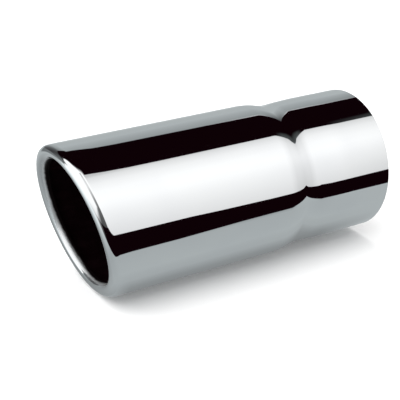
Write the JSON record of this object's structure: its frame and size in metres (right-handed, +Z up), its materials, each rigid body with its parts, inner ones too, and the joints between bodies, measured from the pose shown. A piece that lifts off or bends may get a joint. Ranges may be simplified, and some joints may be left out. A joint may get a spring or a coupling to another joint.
{
  "type": "exhaust tip",
  "caption": "Round polished steel exhaust tip with a slanted outlet, a rolled-in lip, and a swaged step down to an inlet that slides over the tailpipe.",
  "frame": {"origin": "centre of the inlet's end, on the tube's axis", "axes": "+X along the tube's axis, out of the inlet, the way the tailpipe leaves; the outlet is at -X; +Z up, through the long side of the slanted outlet"},
  "size_m": [0.1663, 0.076, 0.076],
  "materials": {
    "polished_steel": "mirror-polished steel outside, dark and unpolished inside"
  },
  "bodies": {
    "root": {"tip_shell": "polished_steel"}
  },
  "joints": []
}
